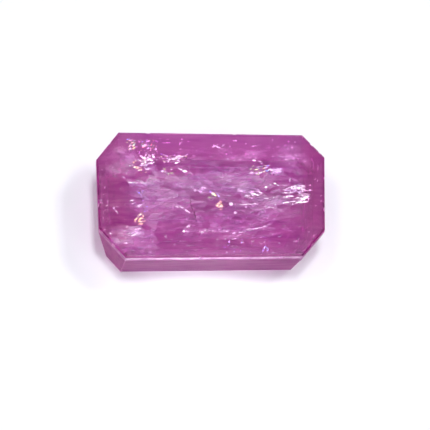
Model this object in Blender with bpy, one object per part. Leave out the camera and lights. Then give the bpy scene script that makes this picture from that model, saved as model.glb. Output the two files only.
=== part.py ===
"""Pink tourmaline in an octagonal step cut.

The stone is shaped the way a cutter shapes it. A block of rough is ground flat one facet at a time:
the girdle's eight sides first, then the tiers of the pavilion down to a flat culet, then the crown up
to the table. The small chips that the girdle has picked up come last. Lengths are in millimetres up to
the point where a mesh is made. The stone's origin is under its middle, on the culet, with +X along it.
"""

import math

import bmesh
import bpy
from mathutils import Matrix, Vector

MM = 0.001
UP = Vector((0.0, 0.0, 1.0))

# Driving sizes
LENGTH = 14.0
WIDTH = 8.76
GIRDLE_HEIGHT = 0.30

# The girdle's outline as the stone was cut by hand, so its long edges draw together slightly to the
# right and no two corners match: the way each side faces, in degrees round from +X, how far it lies
# from the stone's upright axis, and how steep the pavilion's wall is under it, in degrees from the
# girdle's plane.
OUTLINE = (
    ("right end", -3.4, LENGTH / 2 - 0.17, 76.0),
    ("back right corner", 38.8, 7.12, 77.5),
    ("back", 89.3, WIDTH / 2 - 0.06, 74.5),
    ("back left corner", 143.8, 7.09, 78.5),
    ("left end", 180.0, LENGTH / 2, 77.6),
    ("front left corner", 217.6, 6.99, 81.0),
    ("front", 270.7, WIDTH / 2 - 0.06, 73.7),
    ("front right corner", 321.5, 6.75, 74.6),
)

# The pavilion's wall is most of its depth. Two low tiers turn under it to the culet.
WALL_HEIGHT = 2.95
LOWER_TIERS = ((0.38, 45.0), (0.22, 16.0))

# The crown is thin: a narrow bevel round the girdle and a broad, nearly flat step up to the table.
CROWN_TIERS = ((0.10, 36.0), (0.10, 7.0))

GIRDLE_BOTTOM = WALL_HEIGHT + sum(height for height, _ in LOWER_TIERS)
GIRDLE_TOP = GIRDLE_BOTTOM + GIRDLE_HEIGHT
TABLE_HEIGHT = GIRDLE_TOP + sum(height for height, _ in CROWN_TIERS)

# Chips in the girdle's upper edge: the side each is on, how far along it from its left end at 0 to its
# right end at 1 as seen from outside, how deep it goes and the radius of its hollow.
CHIPS = (
    ("right end", 0.28, 0.06, 0.30),
    ("right end", 0.71, 0.04, 0.18),
    ("back right corner", 0.58, 0.10, 0.17),
    ("back right corner", 0.22, 0.04, 0.26),
    ("back", 0.84, 0.05, 0.40),
    ("back", 0.37, 0.04, 0.26),
    ("back left corner", 0.40, 0.04, 0.20),
    ("left end", 0.66, 0.07, 0.22),
    ("front left corner", 0.55, 0.05, 0.24),
    ("front", 0.42, 0.07, 0.12),
    ("front", 0.88, 0.04, 0.20),
    ("front right corner", 0.45, 0.05, 0.22),
)
CHIP_TILT = 37.0

BLOCK_MARGIN = 1.0
LAST_CUT = 1e-7

STONE = "tourmaline"
PINK = (0.72, 0.13, 0.42, 1.0)
POLISH = 0.06
REFRACTIVE_INDEX = 1.63


def clear_scene():
    for item in list(bpy.data.objects):
        bpy.data.objects.remove(item, do_unlink=True)


def collection(name):
    made = bpy.data.collections.new(name)
    bpy.context.scene.collection.children.link(made)
    return made


def facing(degrees):
    """The level direction that a side faces."""
    angle = math.radians(degrees)
    return Vector((math.cos(angle), math.sin(angle), 0.0))


def block_of_rough():
    """A block a little larger than the finished stone."""
    bm = bmesh.new()
    bmesh.ops.create_cube(bm, size=1.0)
    size = Vector((LENGTH, WIDTH, TABLE_HEIGHT)) + Vector((1, 1, 1)) * 2 * BLOCK_MARGIN
    bmesh.ops.scale(bm, vec=size * MM, verts=bm.verts)
    bmesh.ops.translate(bm, vec=(0, 0, TABLE_HEIGHT * MM / 2), verts=bm.verts)
    return bm


def grind(bm, point, normal):
    """Grinds one flat facet: what lies beyond the plane goes, and the cut is closed."""
    cut = bmesh.ops.bisect_plane(
        bm,
        geom=bm.verts[:] + bm.edges[:] + bm.faces[:],
        dist=LAST_CUT,
        plane_co=point * MM,
        plane_no=normal,
        clear_outer=True,
    )
    rim = [item for item in cut["geom_cut"] if isinstance(item, bmesh.types.BMEdge)]
    if rim:
        bmesh.ops.contextual_create(bm, geom=rim)


def grind_girdle(bm):
    for _, degrees, distance, _ in OUTLINE:
        out = facing(degrees)
        grind(bm, out * distance, out)


def grind_tiers(bm, tiers, start, way):
    """Grinds tier after tier from the height start, up or down, and the flat facet that ends them.

    A tier is its height and the slope of its facets, one slope for each side of the outline.
    """
    reach = [distance for _, _, distance, _ in OUTLINE]
    height = start
    for rise, slopes in tiers:
        for side, degrees in enumerate(slopes):
            slope = math.radians(degrees)
            out = facing(OUTLINE[side][1])
            normal = out * math.sin(slope) + way * math.cos(slope)
            grind(bm, out * reach[side] + UP * height, normal)
            reach[side] -= rise / math.tan(slope)
        height += way.z * rise
    grind(bm, UP * height, way)


def even(tiers):
    """Tiers with the same slope on every side."""
    return [(rise, [slope] * len(OUTLINE)) for rise, slope in tiers]


def stone_material():
    material = bpy.data.materials.new("pink_tourmaline")
    material.use_nodes = True
    shader = material.node_tree.nodes["Principled BSDF"]
    shader.inputs["Base Color"].default_value = PINK
    shader.inputs["Roughness"].default_value = POLISH
    shader.inputs["Metallic"].default_value = 0.0
    shader.inputs["IOR"].default_value = REFRACTIVE_INDEX
    return material


def cut_stone(parts):
    bm = block_of_rough()
    grind_girdle(bm)
    wall = (WALL_HEIGHT, [steepness for _, _, _, steepness in OUTLINE])
    grind_tiers(bm, [wall] + even(LOWER_TIERS), GIRDLE_BOTTOM, -UP)
    grind_tiers(bm, even(CROWN_TIERS), GIRDLE_TOP, UP)
    bmesh.ops.recalc_face_normals(bm, faces=bm.faces)
    mesh = bpy.data.meshes.new(STONE)
    bm.to_mesh(mesh)
    bm.free()
    mesh.materials.append(stone_material())
    stone = bpy.data.objects.new(STONE, mesh)
    parts.objects.link(stone)
    return stone


def outline_corner(number):
    """Where a side of the outline meets the one before it."""
    _, first_way, first_distance, _ = OUTLINE[number - 1]
    _, second_way, second_distance, _ = OUTLINE[number]
    first, second = facing(first_way), facing(second_way)
    turn = first.x * second.y - first.y * second.x
    return Vector((
        (first_distance * second.y - second_distance * first.y) / turn,
        (second_distance * first.x - first_distance * second.x) / turn,
        0.0,
    ))


def chip_cutter(number, chip, cutters):
    """A rounded cutter that stands outside the girdle and bites its upper edge."""
    side, along, depth, radius = chip
    place = [row[0] for row in OUTLINE].index(side)
    left, right = outline_corner(place), outline_corner((place + 1) % len(OUTLINE))
    outward = (facing(OUTLINE[place][1]) + UP).normalized()
    corner = left.lerp(right, along) + UP * GIRDLE_TOP
    bm = bmesh.new()
    bmesh.ops.create_icosphere(bm, subdivisions=2, radius=radius * MM)
    turn = Matrix.Rotation(math.radians(CHIP_TILT * (number + 1)), 4, outward)
    bmesh.ops.rotate(bm, cent=(0, 0, 0), matrix=turn, verts=bm.verts)
    name = f"chip_cutter_{number + 1}"
    mesh = bpy.data.meshes.new(name)
    bm.to_mesh(mesh)
    bm.free()
    cutter = bpy.data.objects.new(name, mesh)
    cutter.location = (corner + outward * (radius - depth)) * MM
    cutter.hide_render = True
    cutter.display_type = "WIRE"
    cutters.objects.link(cutter)


def chip_girdle(stone, cutters):
    for number, chip in enumerate(CHIPS):
        chip_cutter(number, chip, cutters)
    bite = stone.modifiers.new("girdle_chips", "BOOLEAN")
    bite.operation = "DIFFERENCE"
    bite.operand_type = "COLLECTION"
    bite.collection = cutters
    bite.solver = "EXACT"


def main():
    clear_scene()
    stone = cut_stone(collection("pink_tourmaline"))
    chip_girdle(stone, collection("chip_cutters"))


main()
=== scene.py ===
import math
import random

import bmesh
import bpy
import numpy as np
from mathutils import Matrix, Vector, noise


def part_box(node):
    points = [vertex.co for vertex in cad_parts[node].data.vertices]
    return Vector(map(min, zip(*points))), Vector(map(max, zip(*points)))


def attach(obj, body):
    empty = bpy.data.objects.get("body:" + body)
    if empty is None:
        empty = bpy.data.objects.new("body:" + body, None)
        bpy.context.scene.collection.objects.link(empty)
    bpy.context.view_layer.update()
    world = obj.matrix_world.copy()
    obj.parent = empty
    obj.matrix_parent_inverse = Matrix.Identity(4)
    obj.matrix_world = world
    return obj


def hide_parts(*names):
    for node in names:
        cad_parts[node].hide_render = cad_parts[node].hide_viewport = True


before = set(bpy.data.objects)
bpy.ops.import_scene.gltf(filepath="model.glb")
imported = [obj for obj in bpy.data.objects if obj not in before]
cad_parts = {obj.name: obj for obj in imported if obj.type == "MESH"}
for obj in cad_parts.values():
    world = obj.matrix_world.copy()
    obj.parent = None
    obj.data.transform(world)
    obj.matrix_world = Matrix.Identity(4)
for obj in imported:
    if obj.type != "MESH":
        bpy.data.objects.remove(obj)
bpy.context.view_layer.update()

MM = 0.001
NODE = "tourmaline"
BODY = "root"

# The view: how high the camera stands, how far round to the stone's left, how it is rolled, and how
# large the stone is in the picture. The stone's middle is at STONE_PIXEL.
CAMERA_HEIGHT = math.radians(60.0)
CAMERA_TURN = math.radians(11.4)
CAMERA_ROLL = math.radians(10.0)
CAMERA_DISTANCE = 200.0 * MM
PICTURE_SIDE = 430
PIXEL = 0.0606 * MM
STONE_PIXEL = (212.5, 196.2)
SENSOR = 36.0

# Heights in the stone, and how strongly it bends light
GIRDLE_BOTTOM = 3.55 * MM
GIRDLE_TOP = 3.85 * MM
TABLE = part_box(NODE)[1].z
REFRACTIVE_INDEX = 1.63

# Facets are read off the solid: the smallest one that counts, how far the rest of the stone may stand
# over its plane, and how alike two of them have to be to count as one.
SMALLEST_FACET = 0.02 * MM * MM
FACET_SLACK = 0.003 * MM
SAME_FACET = math.cos(math.radians(0.6))

# How far the crystal's facets lie inside the solid's, how far its flaws do at least, and how wide its
# edges are worn
SKIN = 0.003 * MM
BURIED = 0.03 * MM
EDGE_WEAR = 0.014 * MM


def camera_axes():
    """The camera's line of sight, and the directions to the right and up in its picture."""
    level = math.cos(CAMERA_HEIGHT)
    aside, ahead = math.sin(CAMERA_TURN), math.cos(CAMERA_TURN)
    sight = Vector((aside * level, ahead * level, -math.sin(CAMERA_HEIGHT)))
    flat = Vector((ahead, -aside, 0.0))
    rise = flat.cross(sight)
    right = flat * math.cos(CAMERA_ROLL) + rise * math.sin(CAMERA_ROLL)
    up = rise * math.cos(CAMERA_ROLL) - flat * math.sin(CAMERA_ROLL)
    return sight, right, up


SIGHT, RIGHT, UP = camera_axes()
STONE_MIDDLE = Vector((0.0, 0.0, (GIRDLE_BOTTOM + GIRDLE_TOP) / 2))
PICTURE_MIDDLE = STONE_MIDDLE + (
    RIGHT * (PICTURE_SIDE / 2 - STONE_PIXEL[0]) - UP * (PICTURE_SIDE / 2 - STONE_PIXEL[1])
) * PIXEL
CAMERA_PLACE = PICTURE_MIDDLE - SIGHT * CAMERA_DISTANCE


def make_camera():
    data = bpy.data.cameras.new("camera")
    data.sensor_width = SENSOR
    data.lens = SENSOR * CAMERA_DISTANCE / (PICTURE_SIDE * PIXEL)
    data.clip_start = 0.01
    data.clip_end = 10.0
    camera = bpy.data.objects.new("camera", data)
    turn = Matrix((RIGHT, UP, -SIGHT)).transposed().to_4x4()
    camera.matrix_world = Matrix.Translation(CAMERA_PLACE) @ turn
    bpy.context.scene.collection.objects.link(camera)
    bpy.context.scene.camera = camera


def bent(way):
    """A ray's direction once it has gone in through the table."""
    inside = Vector((way.x, way.y, 0.0)) / REFRACTIVE_INDEX
    inside.z = -math.sqrt(1.0 - inside.length_squared)
    return inside


def inner_ray(x, y):
    """Where the ray seen at a point of the picture enters the table, and its way on inside the stone."""
    aim = PICTURE_MIDDLE + (RIGHT * (x - PICTURE_SIDE / 2) - UP * (y - PICTURE_SIDE / 2)) * PIXEL
    way = (aim - CAMERA_PLACE).normalized()
    entry = CAMERA_PLACE + way * ((TABLE - CAMERA_PLACE.z) / way.z)
    return entry, bent(way)


def at_depth(x, y, depth):
    """The point at a depth under the table that shows at a point of the picture."""
    entry, way = inner_ray(x, y)
    return entry - way * (depth / way.z)


def on_plane(x, y, point, normal):
    """The point of a plane inside the stone that shows at a point of the picture."""
    entry, way = inner_ray(x, y)
    return entry + way * ((point - entry).dot(normal) / way.dot(normal))


# The way a flat flaw inside the stone faces when it throws the light over the stone's front into
# the view
LIGHT_LEAN = math.radians(18.0)
OVERHEAD = Vector((0.0, math.sin(LIGHT_LEAN), -math.cos(LIGHT_LEAN)))
GLINT = -(bent(OVERHEAD) + bent(SIGHT)).normalized()


def facets():
    """The planes of the solid's flat facets, as (point, outward normal), with all of it behind each."""
    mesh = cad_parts[NODE].data
    points = np.array([v.co for v in mesh.vertices], float)
    mesh.calc_loop_triangles()
    found = []
    for tri in sorted(mesh.loop_triangles, key=lambda t: -t.area):
        if tri.area < SMALLEST_FACET:
            break
        a, b, c = (points[i] for i in tri.vertices)
        normal = np.cross(b - a, c - a)
        normal /= np.linalg.norm(normal)
        if ((points - a) @ normal).max() > FACET_SLACK:
            continue
        if any(normal @ n > SAME_FACET for _, n in found):
            continue
        found.append((a, normal))
    return found


FACETS = facets()
FACET_POINTS, FACET_NORMALS = (np.array(part) for part in zip(*FACETS))


def buried(points):
    """Whether all of these points lie well inside the stone."""
    away = np.array(points)[:, None] - FACET_POINTS
    return np.einsum("pfk,fk->pf", away, FACET_NORMALS).max() < -BURIED


# A facet is one of the girdle's sides when its normal rises or falls by less than this, and the turn
# has the sides counted from the left end
UPRIGHT = 0.01
FIRST_SIDE = 1.2 * math.pi


def girdle_sides():
    """The girdle's sides as (way it faces, distance from the upright axis), in turn round the stone."""
    sides = []
    for point, normal in FACETS:
        if abs(normal[2]) < UPRIGHT:
            way = Vector((normal[0], normal[1], 0.0)).normalized()
            sides.append((way, Vector(point).dot(way)))

    def turned(side):
        return (math.atan2(side[0].y, side[0].x) + FIRST_SIDE) % (2 * math.pi)

    return sorted(sides, key=turned)


def outline(inset=0.0):
    """The outline's corners, drawn in by an inset. Each side starts at the corner with its number."""
    sides = girdle_sides()
    corners = []
    for number, (second, far) in enumerate(sides):
        first, near = sides[number - 1]
        turn = first.x * second.y - first.y * second.x
        near, far = near - inset, far - inset
        x = (near * second.y - far * first.y) / turn
        y = (far * first.x - near * second.x) / turn
        corners.append(Vector((x, y, 0.0)))
    return corners


# Chips in the girdle's upper edge: the side's number round from the left end, how far along the side,
# the depth and the radius in millimetres
CHIPS = (
    (4, 0.28, 0.06, 0.30), (4, 0.71, 0.04, 0.18), (5, 0.58, 0.10, 0.17), (5, 0.22, 0.04, 0.26),
    (6, 0.84, 0.05, 0.40), (6, 0.37, 0.04, 0.26), (7, 0.40, 0.04, 0.20), (0, 0.66, 0.07, 0.22),
    (1, 0.55, 0.05, 0.24), (2, 0.42, 0.07, 0.12), (2, 0.88, 0.04, 0.20), (3, 0.45, 0.05, 0.22),
)
CHIP_GRAIN = 0.10 * MM
CHIP_ROUGHNESS = 0.008 * MM


def chip_places():
    """The middle and the radius of the ball that bites each chip."""
    sides, corners = girdle_sides(), outline()
    places = []
    for number, along, depth, radius in CHIPS:
        left, right = corners[number], corners[(number + 1) % len(corners)]
        outward = (sides[number][0] + Vector((0.0, 0.0, 1.0))).normalized()
        corner = left.lerp(right, along) + Vector((0.0, 0.0, GIRDLE_TOP))
        places.append((corner + outward * (radius - depth) * MM, radius))
    return places


# The bevel round the girdle, and where the girdle is ground and painted pale as a highlight of the
# light that comes out through it: the side's number, where on that side the band starts and ends, how
# much of the girdle's height it covers and how far that swings
BEVEL_INSET = 0.1376 * MM
BEVEL_RISE = 0.10 * MM
GROUND_HIGHLIGHT = ((0, 0.55, 1.0, 0.5, 0.3), (1, 0.0, 1.0, 0.5, 0.3), (2, 0.0, 1.0, 0.66, 0.22))
GROUND_HIGHLIGHT_STEP = 0.06 * MM

# The waves in the band's lower edge, as (length, share), and how far it goes up the bevel
GROUND_HIGHLIGHT_WAVES = ((0.5 * MM, 1.0), (0.12 * MM, 0.5))
GROUND_HIGHLIGHT_RISE = 0.08


def finished(bm, name, material):
    """The piece that a bmesh makes, riding on the stone."""
    mesh = bpy.data.meshes.new(name)
    bm.to_mesh(mesh)
    bm.free()
    mesh.materials.append(material)
    piece = bpy.data.objects.new(name, mesh)
    bpy.context.scene.collection.objects.link(piece)
    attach(piece, BODY)
    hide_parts(NODE)
    return piece


# The crystal is cut out of a block this many times as large as the stone
BLOCK_SIZE = 1.2
LAST_CUT = 1e-7


def cut_crystal(material):
    low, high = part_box(NODE)
    bm = bmesh.new()
    bmesh.ops.create_cube(bm, size=1.0)
    bmesh.ops.scale(bm, vec=(high - low) * BLOCK_SIZE, verts=bm.verts)
    bmesh.ops.translate(bm, vec=(low + high) / 2, verts=bm.verts)
    for point, normal in FACETS:
        cut = bmesh.ops.bisect_plane(
            bm, geom=bm.verts[:] + bm.edges[:] + bm.faces[:], dist=LAST_CUT,
            plane_co=point - normal * SKIN, plane_no=normal, clear_outer=True,
        )
        rim = [item for item in cut["geom_cut"] if isinstance(item, bmesh.types.BMEdge)]
        if rim:
            bmesh.ops.contextual_create(bm, geom=rim)
    bmesh.ops.recalc_face_normals(bm, faces=bm.faces)
    bmesh.ops.bevel(bm, geom=bm.edges[:], offset=EDGE_WEAR, segments=2, affect="EDGES", profile=0.5)
    chip(finished(bm, "crystal", material))


def chip(stone):
    """Bites the chips out of the girdle with lumpy balls."""
    bm = bmesh.new()
    for middle, radius in chip_places():
        made = bmesh.ops.create_icosphere(bm, subdivisions=4, radius=radius * MM)
        for vert in made["verts"]:
            lump = noise.noise((middle + vert.co) / CHIP_GRAIN) * CHIP_ROUGHNESS
            vert.co = middle + vert.co + vert.co.normalized() * lump
    mesh = bpy.data.meshes.new("chips")
    bm.to_mesh(mesh)
    bm.free()
    balls = bpy.data.objects.new("chips", mesh)
    bpy.context.scene.collection.objects.link(balls)
    bite = stone.modifiers.new("chips", "BOOLEAN")
    bite.operation = "DIFFERENCE"
    bite.object = balls
    bite.solver = "EXACT"
    evaluated = stone.evaluated_get(bpy.context.evaluated_depsgraph_get())
    bitten = bpy.data.meshes.new_from_object(evaluated)
    stone.modifiers.clear()
    stone.data = bitten
    bpy.data.objects.remove(balls, do_unlink=True)


def make_frost_highlight():
    """The girdle's ground band along the front and round its left corner, pale as a painted highlight."""
    outer, inner, chips = outline(SKIN / 3), outline(BEVEL_INSET), chip_places()
    bm = bmesh.new()
    for number, start, end, share, swing in GROUND_HIGHLIGHT:
        after = (number + 1) % len(outer)
        count = round((outer[after] - outer[number]).length * (end - start) / GROUND_HIGHLIGHT_STEP)
        before = None
        for k in range(count + 1):
            along = start + (end - start) * k / count
            edge = outer[number].lerp(outer[after], along) + Vector((0.0, 0.0, GIRDLE_TOP))
            head = inner[number].lerp(inner[after], along) + Vector((0.0, 0.0, GIRDLE_TOP + BEVEL_RISE))
            wave = sum(part * noise.noise(edge / size) for size, part in GROUND_HIGHLIGHT_WAVES)
            fall = (GIRDLE_TOP - GIRDLE_BOTTOM) * (share + swing * wave)
            foot = edge - Vector((0.0, 0.0, fall))
            line = []
            for point in (foot, edge, edge.lerp(head, GROUND_HIGHLIGHT_RISE + GROUND_HIGHLIGHT_RISE * wave)):
                for middle, radius in chips:
                    if (point - middle).length < radius * MM:
                        point = middle + (point - middle).normalized() * radius * MM
                line.append(bm.verts.new(point))
            if before:
                for low, high in ((0, 1), (1, 2)):
                    bm.faces.new((before[low], line[low], line[high], before[high]))
            before = line
    finished(bm, "ground_girdle_highlight", frost_highlight_material())


class Nodes:
    """A material's node tree, with short ways to add a node and to join it up."""

    def __init__(self, name):
        self.material = bpy.data.materials.new(name)
        self.material.use_nodes = True
        self.tree = self.material.node_tree
        self.shader = self.tree.nodes["Principled BSDF"]

    def add(self, kind, values=(), **settings):
        node = self.tree.nodes.new("ShaderNode" + kind)
        for key, value in settings.items():
            setattr(node, key, value)
        for key, value in dict(values).items():
            if isinstance(value, bpy.types.NodeSocket):
                self.tree.links.new(value, node.inputs[key])
            else:
                node.inputs[key].default_value = value
        return node

    def set(self, **values):
        for key, value in values.items():
            socket = self.shader.inputs[key.replace("_", " ")]
            if isinstance(value, bpy.types.NodeSocket):
                self.tree.links.new(value, socket)
            else:
                socket.default_value = value

    def ramp(self, factor, stops):
        node = self.add("ValToRGB", {"Fac": factor})
        bar = node.color_ramp.elements
        while len(bar) < len(stops):
            bar.new(1.0)
        for element, (place, colour) in zip(bar, stops):
            element.position = place
            element.color = (*colour, 1.0)
        return node.outputs["Color"]

    def multiply(self, first, second):
        node = self.add("Mix", data_type="RGBA", blend_type="MULTIPLY")
        node.inputs[0].default_value = 1.0
        self.tree.links.new(first, node.inputs[6])
        self.tree.links.new(second, node.inputs[7])
        return node.outputs[2]

    def spread(self, value, low, high, to_low=0.0, to_high=1.0):
        span = {"From Min": low, "From Max": high, "To Min": to_low, "To Max": to_high}
        return self.add("MapRange", {"Value": value, **span}).outputs[0]

    def grain(self, scale, stretch=(1.0, 1.0, 1.0), detail=3.0, distortion=0.0):
        """Noise in the stone's own space, scale lumps to the millimetre, drawn out by a stretch under 1."""
        place = self.add("TexCoord").outputs["Object"]
        scaled = self.add("Mapping", {"Vector": place, "Scale": stretch})
        look = {"Scale": scale / MM, "Detail": detail, "Distortion": distortion}
        return self.add("TexNoise", {"Vector": scaled.outputs[0], **look}).outputs[0]


# The crystal's colour is the product of six ramps, each a row of (place, colour). Two run along and
# across the stone, and three follow noise. The sixth, by height, is painted shade: it darkens the
# pavilion and the bevel over the girdle. One more by height darkens and tints what those two mirror,
# painted shade on their reflections.
HALF_LENGTH = 7.0 * MM
HALF_WIDTH = 4.4 * MM
BAND_FOOT = GIRDLE_BOTTOM - 0.02 * MM
SHADE_BAND_HEAD = GIRDLE_TOP + 0.18 * MM
WHITE = (1.0, 1.0, 1.0)
ALONG_TINTS = (
    (0.0, (1.0, 1.0, 0.92)), (0.11, (1.0, 1.0, 0.92)), (0.16, WHITE),
    (0.88, WHITE), (0.94, (1.0, 0.68, 0.86)), (1.0, (1.0, 0.64, 0.85)),
)
ACROSS_TINTS = (
    (0.0, (1.0, 0.92, 1.0)), (0.38, (1.0, 0.93, 0.99)), (0.5, (0.91, 0.95, 0.93)),
    (0.70, (0.91, 0.95, 0.93)), (0.78, (0.95, 0.72, 0.94)), (1.0, (0.96, 0.72, 0.95)),
)
CLOUD_TINTS = ((0.3, (0.84, 0.72, 0.87)), (0.5, (0.96, 0.90, 0.96)), (0.7, WHITE))
STREAK_TINTS = ((0.36, (0.82, 0.56, 0.83)), (0.5, (0.96, 0.87, 0.96)), (0.62, WHITE))
SILK_TINTS = ((0.36, (0.74, 0.46, 0.78)), (0.5, (0.93, 0.82, 0.94)), (0.62, WHITE))
PAINTED_SHADE_TINTS = (
    (0.0, (0.66, 0.38, 0.58)), (0.04, WHITE), (0.62, WHITE),
    (0.66, (0.62, 0.12, 0.50)), (0.80, (0.62, 0.12, 0.50)), (0.86, WHITE),
)
PAINTED_SHADE_MIRROR_TINTS = (
    (0.0, (0.93, 0.58, 0.84)), (0.04, WHITE), (0.62, WHITE),
    (0.66, (0.72, 0.50, 0.66)), (0.80, (0.72, 0.50, 0.66)), (0.86, WHITE),
)
ABSORBED = (0.95, 0.52, 0.84, 1.0)
ABSORBED_DENSITY = 200.0


def crystal_colour(n, x, y, skin):
    along = n.ramp(n.spread(x, -HALF_LENGTH, HALF_LENGTH), ALONG_TINTS)
    across = n.ramp(n.spread(y, -HALF_WIDTH, HALF_WIDTH), ACROSS_TINTS)
    clouds = n.ramp(n.grain(0.45, (0.45, 1.0, 1.0), 4.0, 0.4), CLOUD_TINTS)
    streaks = n.ramp(n.grain(1.3, (0.22, 1.0, 1.0), 4.0, 0.3), STREAK_TINTS)
    silk = n.ramp(n.grain(4.5, (0.15, 1.0, 1.0), 4.0, 0.4), SILK_TINTS)
    mottle = n.multiply(n.multiply(clouds, streaks), silk)
    # The height ramp paints shade on the pavilion and on the bevel over the girdle
    return n.multiply(n.multiply(along, across), n.multiply(n.ramp(skin, PAINTED_SHADE_TINTS), mottle))


def crystal_roughness(n, z):
    """Coarse up to the girdle's top, and smooth with faint marks on the crown."""
    ground = n.spread(z, GIRDLE_TOP, GIRDLE_TOP + 0.02 * MM, 1.0, 0.0)
    below = n.spread(z, BAND_FOOT, GIRDLE_BOTTOM, 0.72, 0.9)
    frosted = n.add("Math", {0: ground, 1: below}, operation="MULTIPLY").outputs[0]
    marks = n.spread(n.grain(3.0), 0.3, 0.7, 0.16, 0.24)
    return n.add("Math", {0: frosted, 1: marks}, operation="MAXIMUM").outputs[0]


def crystal_material():
    n = Nodes("pink_crystal")
    x, y, z = n.add("SeparateXYZ", {0: n.add("TexCoord").outputs["Object"]}).outputs
    # How far up the band of painted shade a point lies
    skin = n.spread(z, BAND_FOOT, SHADE_BAND_HEAD)
    n.set(Base_Color=crystal_colour(n, x, y, skin), Roughness=crystal_roughness(n, z))
    # The reflections of the pavilion and the bevel get painted shade too
    n.set(IOR=REFRACTIVE_INDEX, Transmission_Weight=1.0, Specular_Tint=n.ramp(skin, PAINTED_SHADE_MIRROR_TINTS))
    waves = n.grain(2.2, (1.0, 1.0, 1.0), 2.0)
    polish = n.add("Bump", {"Height": waves, "Strength": 0.06, "Distance": 0.02 * MM})
    n.set(Normal=polish.outputs[0])
    depth = n.add("VolumeAbsorption", {"Color": ABSORBED, "Density": ABSORBED_DENSITY})
    n.tree.links.new(depth.outputs["Volume"], n.tree.nodes["Material Output"].inputs["Volume"])
    return n.material


# The tints of the flakes and bubbles, as ramps along noise
WHITE_TINTS = ((0.3, (0.92, 0.92, 0.90)), (0.5, (0.84, 1.0, 0.86)), (0.7, (0.78, 1.0, 0.94)))
RAINBOW_TINTS = (
    (0.34, (0.22, 1.0, 0.42)), (0.42, (0.50, 1.0, 0.14)), (0.48, (0.55, 1.0, 0.52)),
    (0.54, (0.86, 1.0, 0.25)), (0.60, (0.48, 1.0, 0.74)), (0.66, (0.26, 0.56, 1.0)),
)
AMBER_TINTS = (
    (0.36, (0.85, 1.0, 0.75)), (0.46, (1.0, 1.0, 0.35)), (0.54, (1.0, 0.82, 0.35)),
    (0.64, (0.8, 1.0, 0.6)),
)
VIOLET_TINTS = ((0.4, (0.34, 0.46, 1.0)), (0.6, (0.72, 0.80, 1.0)))
GRAIN_TINTS = ((0.3, (0.9, 0.92, 0.95)), (0.7, WHITE))


def feather_material(name, stops, roughness, thinnest, fullest=1.0):
    """The skin of a crack full of air: a tinted mirror with gaps where the crack has healed."""
    n = Nodes(name)
    tint = n.ramp(n.grain(7.0, (0.6, 1.0, 1.0), 1.0), stops)
    gloss = n.spread(n.grain(9.0), 0.3, 0.7, roughness * 0.6, roughness * 1.4)
    gaps = n.spread(n.grain(5.0, (0.3, 1.0, 1.0), 3.0, 0.3), 0.40, 0.60, thinnest, fullest)
    n.set(Base_Color=tint, Metallic=1.0, Roughness=gloss, Alpha=gaps)
    return n.material


def frost_highlight_material():
    n = Nodes("ground_girdle_highlight")
    # The pale tint is a painted highlight of the light that comes out through the ground girdle
    tint = n.ramp(n.grain(2.5), ((0.35, (0.42, 0.19, 0.37)), (0.65, (0.64, 0.38, 0.56))))
    cover = n.spread(n.grain(2.0, (0.4, 1.0, 1.0)), 0.3, 0.6, 0.7, 1.0)
    n.set(Base_Color=tint, Roughness=0.7, Alpha=cover)
    return n.material


def veil_material(name, thin, thick, scale):
    n = Nodes(name)
    tint = n.ramp(n.grain(1.2), ((0.35, (0.84, 0.80, 0.9)), (0.65, (0.92, 0.95, 0.96))))
    mist = n.spread(n.grain(scale, (0.35, 1.0, 1.0), 5.0, 0.5), 0.36, 0.66, thin, thick)
    cover = n.add("Attribute", attribute_name="cover").outputs["Fac"]
    alpha = n.add("Math", {0: mist, 1: cover}, operation="MULTIPLY").outputs[0]
    n.set(Base_Color=tint, Metallic=1.0, Roughness=0.5, Alpha=alpha)
    return n.material


def needle_material():
    n = Nodes("pale_needles")
    tint = n.ramp(n.grain(2.0), ((0.35, (0.85, 0.6, 0.85)), (0.65, (1.0, 0.93, 0.98))))
    n.set(Base_Color=tint, Roughness=0.4, Alpha=n.spread(n.grain(1.5), 0.35, 0.65, 0.05, 0.5))
    return n.material


def crack_material():
    n = Nodes("dark_crack")
    tint = n.ramp(n.grain(4.0), ((0.35, (0.14, 0.01, 0.08)), (0.65, (0.30, 0.04, 0.20))))
    n.set(Base_Color=tint, Roughness=0.5, Alpha=n.spread(n.grain(3.0), 0.3, 0.6, 0.3, 0.8))
    return n.material


# The fineness of a sheet's mesh in points of the picture, and how much cover it gains before it is full
SHEET_STEP = 0.55
FADE = 0.6

# How noise is folded: its roughness, its fineness from one octave to the next and its octaves. A sheet's
# patches follow other noise than its folds do, and are a little larger.
FOLDING = (0.9, 2.1, 3)
PATCH_SEED = 40.0
PATCH_SIZE = (1.3, 1.1)
PATCH_EDGE = 0.55


def wrinkle(u, v, seed, grain):
    return noise.fractal(Vector((u / grain[0], v / grain[1], seed)), *FOLDING)


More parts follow.
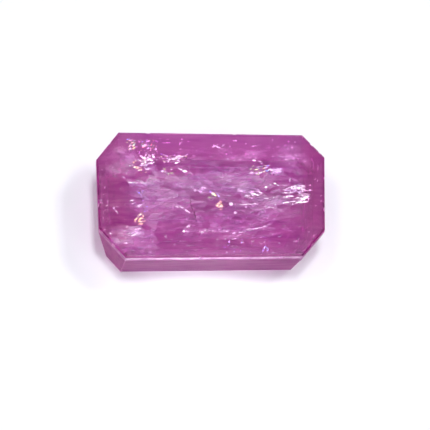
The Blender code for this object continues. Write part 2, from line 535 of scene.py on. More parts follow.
def feather(
    bm, middle, reach, slant, depth, crinkle, grain, cover, seed, step=SHEET_STEP, lean=(0.0, 0.0),
):
    """A crinkled sheet whose outline and folds follow noise drawn out along its slant.

    Its middle, reach and grain are in points of the picture, its depth and crinkle in millimetres. What
    it covers of its oval runs from nearly none at 0 to all of it at 1. The sheet's own value "cover" falls
    to nothing at its edge.
    """
    layer = bm.verts.layers.float.get("cover") or bm.verts.layers.float.new("cover")
    normal = (GLINT + RIGHT * lean[0] + UP * lean[1]).normalized()
    heart = at_depth(*middle, depth * MM)
    turn = math.radians(slant)
    columns, rows = (math.ceil(2 * size / step) for size in reach)
    verts = {}

    def filled(u, v):
        edge = 1.0 - (u / reach[0]) ** 2 - (v / reach[1]) ** 2
        size = (grain[0] * PATCH_SIZE[0], grain[1] * PATCH_SIZE[1])
        patch = wrinkle(u, v, seed + PATCH_SEED, size)
        return min(edge, patch + PATCH_EDGE * edge + cover - PATCH_EDGE)

    def corner(i, j):
        if (i, j) not in verts:
            u, v = i * step - reach[0], j * step - reach[1]
            x = middle[0] + u * math.cos(turn) + v * math.sin(turn)
            y = middle[1] - u * math.sin(turn) + v * math.cos(turn)
            fold = wrinkle(u, v, seed, grain) * crinkle * MM
            verts[i, j] = bm.verts.new(on_plane(x, y, heart, normal) + normal * fold)
            verts[i, j][layer] = min(max(filled(u, v) / FADE, 0.0), 1.0)
        return verts[i, j]

    for i in range(columns):
        for j in range(rows):
            if filled((i + 0.5) * step - reach[0], (j + 0.5) * step - reach[1]) > 0:
                square = corner(i, j), corner(i + 1, j), corner(i + 1, j + 1), corner(i, j + 1)
                if buried([vert.co for vert in square]):
                    bm.faces.new(square)
    bmesh.ops.delete(bm, geom=[vert for vert in bm.verts if not vert.link_faces], context="VERTS")


# A flake's corners, how uneven it is, how far it turns from the way that glints, and how far its slant
# strays in degrees
FLECK_CORNERS = 7
FLECK_UNEVEN = (0.7, 1.2)
FLECK_WOBBLE = 0.14
FLECK_STRAY = 14


def fleck(bm, x, y, depth, length, width, slant, rng, wobble):
    """A thin flake with an uneven outline, facing nearly the way that glints."""
    normal = (GLINT + Vector((rng.gauss(0, wobble), rng.gauss(0, wobble), 0.0))).normalized()
    heart = at_depth(x, y, depth * MM)
    turn = math.radians(slant)
    ring = []
    for k in range(FLECK_CORNERS):
        a = k / FLECK_CORNERS * 2 * math.pi
        u = math.cos(a) * length / 2 * rng.uniform(*FLECK_UNEVEN)
        v = math.sin(a) * width / 2 * rng.uniform(*FLECK_UNEVEN)
        px = x + u * math.cos(turn) + v * math.sin(turn)
        py = y - u * math.sin(turn) + v * math.cos(turn)
        ring.append(on_plane(px, py, heart, normal))
    if buried(ring):
        bm.faces.new([bm.verts.new(point) for point in ring])


def flecks(bm, box, count, depth, length, width, slant, seed, wobble=FLECK_WOBBLE):
    """Flakes strewn over a box of the picture, given by its left, top, right and bottom."""
    rng = random.Random(seed)
    for _ in range(count):
        x, y = rng.uniform(box[0], box[2]), rng.uniform(box[1], box[3])
        sizes = [rng.uniform(*span) for span in (depth, length, width)]
        fleck(bm, x, y, *sizes, slant + rng.gauss(0, FLECK_STRAY), rng, wobble)


# A ribbon's points are this far apart in the picture, stray sideways by so much, and have a width
# between these shares of the given one. Its ends keep a little width.
RIBBON_STEP = 2.0
RIBBON_STRAY = 0.18
RIBBON_UNEVEN = (0.6, 1.3)
RIBBON_END = 0.04
STROKE_LEAN = 0.03


def ribbon(bm, line, width, depth, seed, lean=0.0):
    """A narrow band along a line of the picture, its width uneven and pointed at both ends."""
    rng = random.Random(seed)
    points = []
    for (x0, y0), (x1, y1) in zip(line, line[1:]):
        parts = max(2, round(math.hypot(x1 - x0, y1 - y0) / RIBBON_STEP))
        for k in range(parts):
            points.append((x0 + (x1 - x0) * k / parts, y0 + (y1 - y0) * k / parts))
    points.append(line[-1])
    normal = (GLINT + UP * lean).normalized()
    heart = at_depth(*points[len(points) // 2], depth * MM)
    before = None
    for k, (x, y) in enumerate(points):
        ahead = points[min(k + 1, len(points) - 1)]
        behind = points[max(k - 1, 0)]
        run = Vector((ahead[0] - behind[0], ahead[1] - behind[1])).normalized()
        along = min(max(k / (len(points) - 1), RIBBON_END), 1.0 - RIBBON_END)
        half = width / 2 * math.sin(math.pi * along) ** 0.5 * rng.uniform(*RIBBON_UNEVEN)
        x, y = x + rng.gauss(0, RIBBON_STRAY), y + rng.gauss(0, RIBBON_STRAY)
        ends = [
            on_plane(x - run.y * half * way, y + run.x * half * way, heart, normal) for way in (-1, 1)
        ]
        pair = [bm.verts.new(point) for point in ends] if buried(ends) else None
        if before and pair:
            bm.faces.new((before[0], pair[0], pair[1], before[1]))
        before = pair


def strokes(bm, rows, depth, seed):
    """Straight flakes, each drawn from one point of the picture to another and with a width."""
    rng = random.Random(seed)
    for number, (x0, y0, x1, y1, width) in enumerate(rows):
        place = rng.uniform(*depth)
        ribbon(bm, [(x0, y0), (x1, y1)], width, place, seed + number, rng.gauss(0, STROKE_LEAN))


# How much of its thickness a grain loses, and how uneven it is
GRAIN_FLATNESS = 0.7
GRAIN_UNEVEN = (0.88, 1.1)


def grains(bm, places, seed):
    """Small uneven flat crystals, each given by its place in the picture, its depth and its size."""
    rng = random.Random(seed)
    for x, y, depth, size in places:
        made = bmesh.ops.create_icosphere(bm, subdivisions=2, radius=size * PIXEL / 2)
        heart = at_depth(x, y, depth * MM)
        for vert in made["verts"]:
            flat = vert.co - GLINT * vert.co.dot(GLINT) * GRAIN_FLATNESS
            vert.co = heart + flat * rng.uniform(*GRAIN_UNEVEN)


# The tables from here to the grains were listed beside the photo: places were read off it, and
# depths and seeds were chosen. Places, reaches, grains, lengths and widths are in points of the
# picture, depths and crinkles in millimetres, and slants in degrees.

# Bright straight flakes: where each starts and ends, as x, y, x, y, and its width
RIGHT_STROKES = (
    (296.0, 203.0, 308.5, 196.5, 2.2), (299.0, 202.4, 308.0, 201.0, 1.4),
    (301.0, 199.0, 309.5, 195.0, 1.2), (282.0, 203.0, 296.0, 201.2, 0.9),
    (287.5, 190.5, 296.5, 188.6, 1.1), (287.5, 193.0, 296.0, 191.4, 1.1),
    (284.0, 197.0, 294.0, 195.4, 1.0), (289.5, 194.5, 292.0, 187.0, 0.8),
    (292.5, 191.0, 296.5, 185.2, 0.8), (290.0, 187.5, 294.0, 186.0, 0.8),
    (298.5, 186.0, 305.8, 186.6, 1.2), (296.0, 192.2, 311.8, 190.0, 0.7),
    (298.0, 188.3, 304.0, 189.4, 0.6), (299.0, 193.5, 306.0, 195.0, 0.6),
    (303.0, 193.4, 310.5, 194.4, 0.6), (280.8, 184.2, 286.8, 186.0, 1.0),
    (275.0, 184.7, 280.0, 185.6, 0.6), (281.5, 189.2, 289.0, 190.8, 0.5),
    (283.0, 192.5, 288.0, 193.2, 0.5), (289.6, 182.2, 290.4, 178.0, 0.6),
    (293.8, 181.6, 295.0, 179.4, 0.5), (296.4, 184.8, 289.6, 188.0, 0.6),
    (289.6, 187.2, 284.8, 189.6, 0.6), (293.6, 188.0, 288.0, 191.2, 0.6),
    (296.8, 191.2, 302.4, 194.4, 0.5), (298.4, 195.2, 310.4, 195.2, 0.5),
    (308.0, 196.0, 308.8, 200.8, 0.6), (293.6, 199.2, 300.8, 196.8, 0.7),
    (296.0, 202.8, 308.8, 201.6, 1.1), (283.2, 196.8, 293.6, 196.4, 0.7),
)
MIDDLE_STROKES = (
    (236.8, 190.6, 243.0, 191.8, 0.9), (243.0, 191.8, 249.0, 193.3, 1.0),
    (249.0, 192.6, 257.0, 194.6, 1.1), (257.0, 190.8, 262.3, 193.3, 1.0),
    (244.5, 195.2, 249.0, 195.8, 0.5), (252.0, 196.2, 254.5, 197.3, 0.6),
    (249.0, 199.0, 251.0, 199.8, 0.5), (232.2, 187.6, 235.2, 187.4, 1.0),
    (225.0, 187.3, 231.0, 187.4, 0.5), (264.8, 187.3, 267.2, 187.0, 1.4),
    (264.0, 190.8, 266.0, 190.5, 0.9), (270.0, 185.0, 271.3, 184.2, 0.8),
    (273.8, 183.4, 275.6, 182.9, 0.9), (252.2, 160.0, 256.0, 160.5, 0.9),
    (258.0, 161.0, 261.5, 161.8, 0.8), (260.0, 163.8, 263.0, 163.2, 0.5),
    (265.8, 167.2, 268.6, 166.6, 0.9), (263.6, 171.4, 266.4, 169.8, 0.7),
    (248.5, 173.0, 252.0, 172.6, 0.7), (255.5, 173.4, 257.5, 173.0, 0.7),
    (176.3, 204.0, 183.0, 208.4, 0.7), (182.0, 207.4, 190.0, 212.8, 0.7),
    (183.5, 230.5, 186.0, 228.5, 0.7), (186.5, 227.4, 189.0, 224.6, 0.9),
    (188.0, 229.6, 189.4, 228.0, 0.5), (209.0, 191.0, 212.5, 192.8, 0.6),
    (238.0, 233.0, 252.0, 229.6, 0.5), (252.0, 229.8, 262.0, 227.0, 0.7),
    (262.0, 227.2, 272.0, 223.4, 0.5), (173.0, 203.6, 178.0, 207.8, 0.5),
    (187.6, 228.0, 190.6, 225.0, 0.7), (232.2, 233.6, 235.6, 232.4, 0.8),
    (246.0, 229.6, 256.0, 228.1, 0.6), (238.0, 189.4, 246.0, 190.6, 0.4),
    (246.0, 191.4, 254.0, 196.0, 0.4), (250.0, 190.6, 258.0, 192.4, 0.4),
    (254.0, 195.2, 262.0, 194.4, 0.4), (248.0, 197.5, 256.0, 198.6, 0.4),
    (244.0, 196.8, 250.0, 197.2, 0.4), (182.4, 231.4, 185.0, 231.0, 0.9),
    (186.2, 230.8, 188.6, 231.8, 1.0),
)
LEFT_STROKES = (
    (140.0, 155.4, 145.3, 159.8, 0.9), (145.0, 155.6, 148.0, 153.4, 0.7),
    (152.0, 154.0, 154.8, 157.8, 1.2), (147.8, 159.6, 152.8, 160.2, 1.1),
    (141.3, 163.8, 146.5, 162.4, 1.5), (147.5, 163.2, 153.0, 163.6, 1.4),
    (137.8, 160.6, 140.6, 160.0, 1.0), (144.8, 169.2, 152.2, 168.0, 1.0),
    (140.0, 165.6, 148.0, 164.9, 1.0), (129.0, 165.7, 130.6, 166.0, 1.2),
    (164.3, 155.8, 169.5, 156.8, 1.0), (166.5, 160.2, 184.5, 156.2, 0.9),
    (169.0, 158.3, 186.5, 155.6, 0.6), (174.5, 163.4, 180.0, 161.8, 0.9),
    (161.3, 170.8, 163.2, 171.2, 1.8), (164.6, 171.9, 166.4, 172.2, 1.5),
    (170.5, 169.8, 172.5, 169.2, 0.9), (177.8, 167.3, 180.0, 168.9, 1.3),
    (180.0, 169.0, 183.8, 171.2, 1.3), (182.6, 171.0, 186.8, 171.2, 3.2),
    (189.0, 172.4, 192.5, 173.8, 1.0), (155.0, 140.4, 157.5, 142.6, 1.2),
    (149.5, 148.2, 151.0, 148.6, 1.5), (154.5, 148.8, 156.2, 149.2, 1.8),
    (167.0, 139.8, 169.5, 138.8, 1.2), (180.8, 139.2, 183.0, 139.4, 1.1),
    (162.0, 143.4, 170.5, 143.0, 0.7), (128.5, 140.8, 133.5, 140.2, 1.0),
    (129.5, 145.8, 131.5, 145.2, 1.2), (129.0, 149.0, 131.5, 148.4, 1.4),
    (141.4, 146.8, 146.6, 144.2, 0.7), (147.5, 145.5, 150.5, 141.6, 0.7),
    (146.0, 141.8, 150.0, 140.6, 0.6), (152.6, 141.4, 154.4, 142.6, 0.7),
    (147.2, 148.6, 149.2, 147.4, 0.9), (144.6, 143.6, 148.8, 142.2, 0.5),
)
PALE_STROKES = (
    (109.0, 232.2, 112.0, 233.8, 1.5), (124.2, 242.8, 128.6, 242.8, 1.2),
    (142.6, 241.4, 146.0, 241.8, 1.2), (152.4, 238.8, 152.6, 242.6, 1.1),
    (164.8, 237.4, 166.6, 235.8, 1.5), (150.6, 249.8, 150.2, 253.2, 1.0),
    (113.6, 208.2, 119.0, 214.2, 1.1), (100.4, 199.4, 102.6, 199.4, 1.3),
    (102.4, 217.0, 104.4, 217.6, 1.1), (136.0, 207.6, 143.2, 205.8, 0.8),
    (131.4, 203.6, 135.4, 203.2, 1.2), (148.4, 178.2, 150.4, 178.2, 1.1),
    (128.0, 233.4, 138.0, 231.4, 1.6), (127.6, 226.6, 142.0, 226.6, 0.8),
    (283.6, 157.0, 288.4, 156.4, 0.7), (284.0, 159.6, 288.8, 159.2, 0.7),
    (294.4, 142.6, 295.8, 142.6, 1.2), (213.0, 145.0, 222.0, 148.6, 0.8),
    (233.0, 140.6, 237.0, 141.4, 1.4), (252.0, 146.6, 262.0, 144.8, 0.7),
    (183.2, 231.6, 185.2, 231.4, 1.6), (187.0, 231.5, 189.2, 231.6, 1.8),
    (200.4, 232.3, 204.4, 232.4, 1.4), (212.2, 231.8, 215.2, 232.2, 1.1),
    (219.0, 230.4, 220.2, 228.8, 1.0), (226.2, 231.8, 228.0, 230.8, 1.2),
    (169.0, 197.6, 171.4, 197.2, 1.0), (172.6, 197.2, 175.2, 197.6, 1.0),
    (194.0, 189.0, 189.0, 184.8, 0.9), (195.6, 189.8, 205.0, 193.6, 1.0),
    (197.0, 187.0, 207.0, 187.8, 1.0), (243.6, 233.8, 250.0, 233.8, 0.7),
    (121.5, 176.4, 129.0, 180.0, 0.9), (126.0, 180.6, 136.0, 184.6, 1.2),
    (133.0, 182.4, 147.0, 183.2, 1.1), (128.0, 234.6, 134.0, 230.6, 1.3),
    (131.0, 236.6, 138.0, 232.2, 1.3), (134.0, 229.4, 141.0, 228.4, 1.1),
    (121.0, 230.0, 126.0, 231.0, 1.0), (136.0, 206.4, 144.0, 203.6, 0.7),
    (129.0, 201.0, 134.0, 200.0, 0.9), (270.5, 170.4, 283.0, 168.8, 2.6),
    (272.0, 172.8, 282.0, 171.4, 2.6), (249.0, 173.2, 255.0, 172.8, 0.9),
    (258.0, 173.4, 263.0, 172.0, 0.8), (240.0, 204.6, 258.0, 204.0, 0.8),
    (262.0, 206.0, 276.0, 208.4, 0.8),
)
RAINBOW_STROKES = (
    (132.5, 146.8, 135.5, 143.2, 1.4), (133.0, 149.0, 135.0, 147.0, 1.0),
    (131.5, 143.6, 134.0, 142.2, 0.8), (212.0, 192.8, 216.5, 196.2, 1.0),
    (264.0, 165.8, 270.0, 165.2, 0.7), (262.0, 168.8, 268.0, 167.6, 0.6),
    (266.0, 170.8, 272.0, 169.0, 0.7), (256.0, 167.2, 263.0, 166.4, 0.5),
    (254.0, 169.8, 260.0, 168.8, 0.5),
)
AMBER_STROKES = (
    (142.0, 147.6, 147.0, 145.0, 0.6), (151.2, 146.0, 152.6, 142.0, 0.5),
    (133.0, 167.2, 139.0, 166.8, 1.3), (137.5, 170.5, 142.0, 169.2, 1.2),
    (135.5, 168.9, 141.0, 167.6, 0.8), (219.3, 202.0, 221.6, 205.0, 1.2),
    (220.0, 206.2, 222.6, 205.4, 1.2), (220.3, 208.6, 222.0, 207.5, 0.9),
    (216.6, 206.6, 218.4, 205.2, 1.6), (218.8, 202.8, 220.0, 202.0, 1.2),
    (217.4, 204.2, 221.6, 203.2, 0.9), (218.0, 207.4, 223.6, 206.4, 0.9),
    (219.0, 210.0, 222.8, 208.8, 0.7), (220.6, 201.0, 222.0, 203.4, 0.7),
    (134.5, 220.5, 141.5, 212.6, 0.7), (136.4, 223.0, 143.0, 216.2, 0.6),
    (138.0, 221.9, 145.0, 220.7, 0.7), (138.6, 223.9, 143.4, 223.2, 0.5),
    (141.4, 218.9, 144.4, 217.6, 0.5), (139.4, 215.2, 141.6, 213.4, 1.0),
    (142.4, 214.6, 143.8, 217.0, 0.5), (134.0, 221.4, 136.4, 218.4, 0.6),
)
VIOLET_STROKES = (
    (138.0, 193.4, 139.8, 192.2, 1.1), (141.8, 192.6, 143.0, 190.6, 0.8),
    (140.6, 195.0, 142.2, 194.0, 0.7), (136.8, 191.6, 138.0, 190.6, 0.7),
    (144.0, 211.4, 147.6, 210.2, 0.8), (144.6, 209.6, 148.0, 209.8, 0.5),
    (261.3, 251.7, 264.3, 248.2, 0.6), (264.0, 248.6, 265.0, 245.8, 0.6),
    (265.0, 246.0, 268.4, 248.4, 0.6), (262.6, 248.4, 264.0, 250.8, 0.4),
    (266.6, 250.6, 268.6, 249.0, 0.4), (210.0, 191.4, 214.6, 194.6, 0.8),
    (217.4, 193.8, 219.0, 196.8, 0.7), (141.6, 201.4, 144.0, 199.6, 0.5),
    (146.2, 207.0, 148.6, 205.8, 0.5),
)
STROKE_DEPTH = (0.3, 0.6)

# Strewn flakes: the box of the picture that they lie in, how many, the ranges of depth, length and
# width, the slant, a seed, and how far they turn from the way that glints where it isn't the usual
WHITE_FLECKS = (
    ((283, 183, 312, 206), 20, (0.4, 0.7), (2.0, 6.0), (0.4, 0.8), 14, 5),
    ((128, 139, 160, 172), 44, (0.4, 0.7), (0.8, 2.2), (0.3, 0.6), 8, 6),
    ((134, 152, 158, 170), 34, (0.4, 0.7), (0.8, 2.4), (0.3, 0.6), 25, 4),
    ((161, 153, 190, 163), 26, (0.4, 0.7), (1.0, 3.4), (0.3, 0.6), 16, 3),
    ((240, 184, 284, 200), 16, (0.4, 0.7), (1.5, 4.0), (0.4, 0.8), 8, 8),
)
PALE_FLECKS = (
    ((103, 205, 122, 224), 9, (0.4, 0.9), (1.2, 3.5), (0.4, 0.8), 30, 9),
    ((180, 138, 300, 164), 64, (0.4, 1.4), (1.2, 4.0), (0.3, 0.7), 12, 12, 0.08),
    ((130, 225, 300, 252), 80, (0.5, 1.6), (0.8, 3.0), (0.4, 0.8), 5, 13, 0.1),
    ((214, 233, 276, 255), 60, (0.4, 1.0), (0.8, 2.2), (0.4, 0.8), 20, 17),
    ((296, 146, 321, 240), 24, (0.4, 1.2), (1.2, 3.5), (0.3, 0.7), 60, 14),
    ((192, 230, 236, 232.5), 10, (0.6, 0.8), (0.8, 2.2), (0.6, 1.1), 0, 16, 0.08),
    ((98, 165, 128, 245), 46, (0.4, 1.2), (1.2, 3.8), (0.3, 0.6), 80, 18),
    ((150, 176, 300, 228), 60, (0.5, 2.0), (0.8, 3.2), (0.3, 0.8), 0, 19, 0.2),
)
RAINBOW_FLECKS = (
    ((127, 139, 137, 150), 26, (0.4, 0.8), (0.8, 1.8), (0.4, 0.8), 20, 21),
    ((140, 140, 158, 151), 30, (0.4, 0.8), (0.8, 2.0), (0.4, 0.7), 30, 22),
    ((161, 154, 188, 162), 24, (0.4, 0.8), (0.8, 2.6), (0.4, 0.7), 16, 20),
    ((160, 167, 176, 174), 14, (0.4, 0.8), (1.0, 2.2), (0.6, 1.1), 10, 24),
    ((209, 191, 219, 198), 8, (0.4, 0.7), (1.0, 2.4), (0.5, 0.9), -30, 27),
    ((250, 165, 276, 175), 44, (0.4, 0.9), (0.8, 1.8), (0.4, 0.8), 10, 30),
)
AMBER_FLECKS = (
    ((133, 158, 147, 173), 26, (0.4, 0.8), (0.8, 2.2), (0.4, 0.8), 10, 23),
    ((135, 213, 146, 225), 14, (0.4, 0.8), (0.8, 2.2), (0.3, 0.6), 45, 25),
    ((216, 202, 223, 209), 10, (0.3, 0.6), (0.8, 2.0), (0.4, 0.8), 45, 26),
)
VIOLET_FLECKS = (
    ((137, 188, 145, 198), 14, (0.4, 0.8), (0.8, 1.6), (0.4, 0.7), 60, 28),
    ((222, 236, 272, 256), 50, (0.4, 0.8), (0.8, 2.0), (0.3, 0.6), 45, 29),
)

# Sheets: middle, reach, slant, depth, crinkle, grain, cover, a seed, and the mesh's step and the lean
# where they aren't the usual
WHITE_SHEETS = (
    ((300, 187.5), (12, 4.4), 12, 0.7, 0.016, (5.0, 0.6), -0.08, 3.0),
    ((302, 199.5), (9, 4.2), 14, 0.9, 0.016, (4.5, 0.7), 0.05, 7.0),
    ((249, 193.5), (13, 4.6), -14, 0.6, 0.016, (5.0, 0.6), -0.12, 11.0),
    ((147, 163), (9, 9), 10, 0.8, 0.013, (3.0, 0.8), 0.00, 17.0, SHEET_STEP, (0.03, 0.0)),
    ((175, 158.5), (12, 3.0), 14, 0.9, 0.016, (5.0, 0.6), -0.05, 19.0),
)
THIN_VEILS = (
    ((222, 182), (62, 15), 2, 1.5, 0.04, (14.0, 5.0), 0.8, 51.0, 1.6),
    ((160, 196), (34, 26), 0, 1.9, 0.04, (12.0, 6.0), 0.6, 53.0, 1.6),
    ((268, 205), (24, 12), 8, 1.3, 0.03, (10.0, 4.0), 0.6, 59.0, 1.6),
    ((240, 232), (60, 8), 2, 1.8, 0.03, (16.0, 3.0), 0.4, 61.0, 1.6),
    ((225, 152), (60, 10), 1, 2.1, 0.03, (16.0, 4.0), 0.4, 63.0, 1.6),
    ((151, 203), (9, 48), 0, 1.0, 0.02, (8.0, 12.0), 0.55, 64.0, 1.0),
    ((134, 240), (30, 15), -16, 1.0, 0.02, (9.0, 5.0), 0.75, 62.0, 1.2),
    ((123, 163), (18, 18), 40, 1.2, 0.02, (12.0, 8.0), 0.8, 60.0, 1.4),
    ((290, 164), (22, 20), -30, 1.2, 0.02, (12.0, 6.0), 0.7, 56.0, 1.4),
)
DENSE_VEILS = (
    ((276.5, 171.5), (8, 5), 5, 0.5, 0.005, (5.0, 2.5), 0.7, 55.0, 0.7),
    ((134, 231.6), (11, 6.5), 9, 0.5, 0.012, (6.0, 1.6), 0.45, 57.0, 0.6),
    ((137, 183.5), (16, 5), -14, 0.7, 0.01, (9.0, 2.0), 0.4, 58.0, 0.8),
    ((283, 196), (22, 11), 12, 1.2, 0.03, (9.0, 2.2), 0.1, 65.0, 1.0),
    ((204, 189.5), (10, 3.5), -14, 0.7, 0.01, (8.0, 2.0), 0.4, 66.0, 0.7),
    ((267, 214), (13, 10), 30, 1.0, 0.02, (7.0, 3.0), 0.2, 67.0, 0.8),
    ((120, 240), (16, 10), -10, 0.9, 0.02, (8.0, 3.0), 0.2, 68.0, 0.8),
    ((163, 200), (10, 5), 0, 0.8, 0.01, (6.0, 2.0), 0.3, 69.0, 0.8),
)
SILK = (
    ((213, 200), (98, 46), 0, 1.3, 0.02, (20.0, 6.0), 1.0, 77.0, 2.0),
)

# Needles and the dark crack: a line of the picture, its width and depth, and a seed
NEEDLES = (
    (((185, 167.3), (222, 167.6), (262, 166.8)), 1.1, 0.5, 71),
    (((147, 219.5), (170, 219.0), (200, 219.4)), 1.2, 0.6, 72),
    (((155, 241.5), (180, 241.2), (202, 240.2)), 1.2, 0.5, 73),
    (((192, 231.3), (213, 231.0), (236, 231.6)), 0.8, 0.7, 74),
    (((237, 233.0), (254, 229.0), (272, 223.0)), 1.0, 0.8, 75),
    (((298.9, 234.6), (298.3, 240.0), (298.0, 244.6)), 1.4, 0.4, 77),
    (((311.0, 158.0), (313.4, 163.0), (313.0, 169.0)), 1.0, 0.3, 78),
    (((316.0, 160.0), (318.0, 166.0), (317.4, 172.0)), 1.0, 0.3, 79),
)
CRACKS = (
    (((190.8, 198), (190.6, 202), (191.4, 207), (193.4, 211), (195.4, 216), (197.0, 223)), 1.5, 0.3, 95),
    (((190.4, 207), (193, 208), (196, 211)), 0.6, 0.45, 96),
)

# Fine needles: how many, the box of the picture that they are strewn over, given by its left, top, right
# and bottom, their ranges of length, width and depth, how far they tilt, and the seeds of their places
# and of the first one's outline
FINE_NEEDLES = 46
FINE_NEEDLE_BOX = (128, 142, 290, 250)
FINE_NEEDLE_LENGTH = (5, 26)
FINE_NEEDLE_WIDTH = (0.4, 0.9)
FINE_NEEDLE_DEPTH = (0.4, 2.4)
FINE_NEEDLE_TILT = 0.05
FINE_NEEDLE_SEED = 76
FIRST_NEEDLE_SEED = 80

# Bubbles and small crystals: place in the picture, depth and size
GRAIN_SEED = 91
GRAINS = (
    (231.0, 203.8, 0.35, 4.6), (235.2, 212.7, 0.4, 3.2), (246.0, 206.8, 0.5, 2.2),
    (195.0, 190.2, 0.5, 3.0), (201.0, 231.2, 0.7, 1.4), (207.0, 231.6, 0.7, 1.2),
    (213.0, 230.8, 0.7, 1.5), (236.0, 141.0, 0.6, 1.6), (246.0, 144.0, 0.6, 1.4),
    (214.0, 146.4, 0.5, 1.4), (216.0, 216.5, 0.8, 1.2), (275.4, 204.8, 0.6, 2.2),
    (289.5, 163.5, 0.5, 1.2), (224.2, 215.0, 0.5, 1.5), (225.4, 239.2, 0.5, 1.5),
    (226.7, 251.6, 0.5, 1.6), (279.2, 242.5, 0.6, 1.7), (246.7, 217.5, 0.6, 1.4),
    (129.8, 165.9, 0.3, 1.6),
)


def make_flaws(name, material, sheets=(), straight=(), strewn=()):
    """One piece made of sheets, of groups of straight flakes with their seeds, and of strewn flakes."""
    bm = bmesh.new()
    for sheet in sheets:
        feather(bm, *sheet)
    for seed, rows in straight:
        strokes(bm, rows, STROKE_DEPTH, seed)
    for patch in strewn:
        flecks(bm, *patch)
    finished(bm, name, material)


def make_feathers():
    white = feather_material("white_feathers", WHITE_TINTS, 0.27, 0.15)
    straight = (300, RIGHT_STROKES), (340, MIDDLE_STROKES), (380, LEFT_STROKES)
    make_flaws("white_feathers", white, WHITE_SHEETS, straight, WHITE_FLECKS)
    pale = feather_material("pale_flakes", WHITE_TINTS, 0.3, 0.1, 0.7)
    make_flaws("pale_flakes", pale, (), [(460, PALE_STROKES)], PALE_FLECKS)
    rainbow = feather_material("rainbow_feathers", RAINBOW_TINTS, 0.2, 0.7)
    make_flaws("rainbow_feathers", rainbow, (), [(420, RAINBOW_STROKES)], RAINBOW_FLECKS)
    amber = feather_material("amber_feathers", AMBER_TINTS, 0.25, 0.4, 0.9)
    make_flaws("amber_feathers", amber, (), [(480, AMBER_STROKES)], AMBER_FLECKS)
    violet = feather_material("violet_feathers", VIOLET_TINTS, 0.25, 0.3, 0.9)
    make_flaws("violet_feathers", violet, (), [(520, VIOLET_STROKES)], VIOLET_FLECKS)


def make_veils():
    make_flaws("thin_veils", veil_material("thin_veils", 0.08, 0.42, 2.6), THIN_VEILS)
    make_flaws("dense_veils", veil_material("dense_veils", 0.10, 0.75, 3.4), DENSE_VEILS)
    make_flaws("silk", veil_material("silk", 0.0, 0.34, 5.0), SILK)


def make_needles():
    bm = bmesh.new()
    for needle in NEEDLES:
        ribbon(bm, *needle)
    rng = random.Random(FINE_NEEDLE_SEED)
    left, top, right, bottom = FINE_NEEDLE_BOX
    for number in range(FINE_NEEDLES):
        x, y = rng.uniform(left, right), rng.uniform(top, bottom)
        length = rng.uniform(*FINE_NEEDLE_LENGTH)
        end = (x + length, y + length * rng.gauss(0, FINE_NEEDLE_TILT))
        width, depth = rng.uniform(*FINE_NEEDLE_WIDTH), rng.uniform(*FINE_NEEDLE_DEPTH)
        ribbon(bm, [(x, y), end], width, depth, FIRST_NEEDLE_SEED + number)
    finished(bm, "needles", needle_material())


def make_grains():
    bm = bmesh.new()
    grains(bm, GRAINS, GRAIN_SEED)
    finished(bm, "grains", feather_material("white_grains", GRAIN_TINTS, 0.4, 0.9))


def make_crack():
    bm = bmesh.new()
    for line in CRACKS:
        ribbon(bm, *line)
    finished(bm, "crack", crack_material())


# The colour of the card's lights
CARD_LIGHT = (0.985, 1.0, 1.06)


def softbox(name, azimuth, height, distance, size, radiance, stone):
    """A light aimed at the stone's foot, which either shows in the stone or lights the card."""
    data = bpy.data.lights.new(name, "AREA")
    data.shape = "RECTANGLE"
    data.size, data.size_y = size
    data.color = WHITE if stone else CARD_LIGHT
    data.energy = radiance * math.pi * size[0] * size[1]
    light = bpy.data.objects.new(name, data)
    a, e = math.radians(azimuth), math.radians(height)
    way = Vector((math.cos(a) * math.cos(e), math.sin(a) * math.cos(e), math.sin(e)))
    light.location = way * distance
    light.rotation_mode = "QUATERNION"
    light.rotation_quaternion = way.to_track_quat("Z", "Y")
    light.visible_camera = False
    light.visible_diffuse = not stone
    light.visible_glossy = stone
    light.visible_transmission = stone
    bpy.context.scene.collection.objects.link(light)


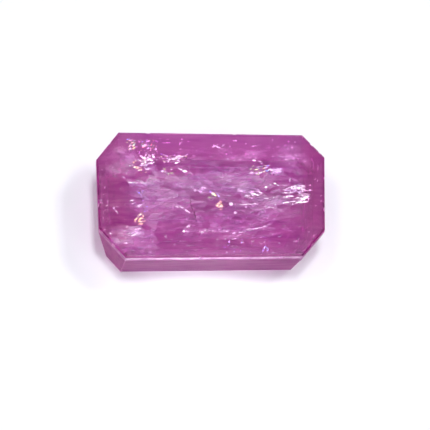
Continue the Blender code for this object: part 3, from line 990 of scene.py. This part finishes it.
# The lights: name, azimuth, height in degrees, distance, size, radiance, and whether it is for the stone
LIGHTS = (
    ("stone_big_light", -90, 59, 0.25, (0.405, 0.405), 3.05, True),
    ("stone_top_light", -80, 74, 0.24, (0.10, 0.10), 3.6, True),
    ("stone_right_light", -8, 60, 0.3, (0.18, 0.18), 3.4, True),
    ("card_right_light", 7, 62, 0.3, (0.06, 0.06), 21.0, False),
    ("card_left_light", -172, 71.5, 0.3, (0.06, 0.06), 12.7, False),
    ("card_top_light", -90, 80.5, 0.3, (0.03, 0.06), 71.0, False),
    ("card_front_light", -96, 14, 0.00825, (0.006, 0.001), 24.0, False),
)

# The sky's colour, its strength at the horizon and overhead, and how high up its unit sphere it has
# the second
SKY_COLOUR = (0.97, 0.985, 1.08, 1.0)
SKY_AT_HORIZON = 0.7
SKY_OVERHEAD = 0.22
SKY_RISE = 0.6

FLOOR_SIZE = 2.0
FLOOR_GAP = 0.01 * MM
FLOOR_COLOUR = (0.93, 0.93, 0.93, 1.0)


def make_sky():
    world = bpy.data.worlds.new("studio")
    world.use_nodes = True
    bpy.context.scene.world = world
    nodes, links = world.node_tree.nodes, world.node_tree.links
    place = nodes.new("ShaderNodeTexCoord")
    split = nodes.new("ShaderNodeSeparateXYZ")
    links.new(place.outputs["Generated"], split.inputs[0])
    grade = nodes.new("ShaderNodeMapRange")
    grade.inputs["From Min"].default_value = 0.0
    grade.inputs["From Max"].default_value = SKY_RISE
    grade.inputs["To Min"].default_value = SKY_AT_HORIZON
    grade.inputs["To Max"].default_value = SKY_OVERHEAD
    links.new(split.outputs["Z"], grade.inputs["Value"])
    back = nodes["Background"]
    back.inputs["Color"].default_value = SKY_COLOUR
    links.new(grade.outputs[0], back.inputs["Strength"])


def make_floor():
    mesh = bpy.data.meshes.new("floor")
    bm = bmesh.new()
    bmesh.ops.create_grid(bm, x_segments=1, y_segments=1, size=FLOOR_SIZE)
    bm.to_mesh(mesh)
    bm.free()
    floor = bpy.data.objects.new("floor", mesh)
    floor.location = (0, 0, -FLOOR_GAP)
    n = Nodes("white_card")
    n.set(Base_Color=FLOOR_COLOUR, Roughness=0.8)
    mesh.materials.append(n.material)
    bpy.context.scene.collection.objects.link(floor)


def make_studio():
    bpy.context.scene.view_settings.view_transform = "Standard"
    make_sky()
    for light in LIGHTS:
        softbox(*light)
    make_floor()


make_camera()
cut_crystal(crystal_material())
make_frost_highlight()
make_feathers()
make_veils()
make_needles()
make_grains()
make_crack()
make_studio()
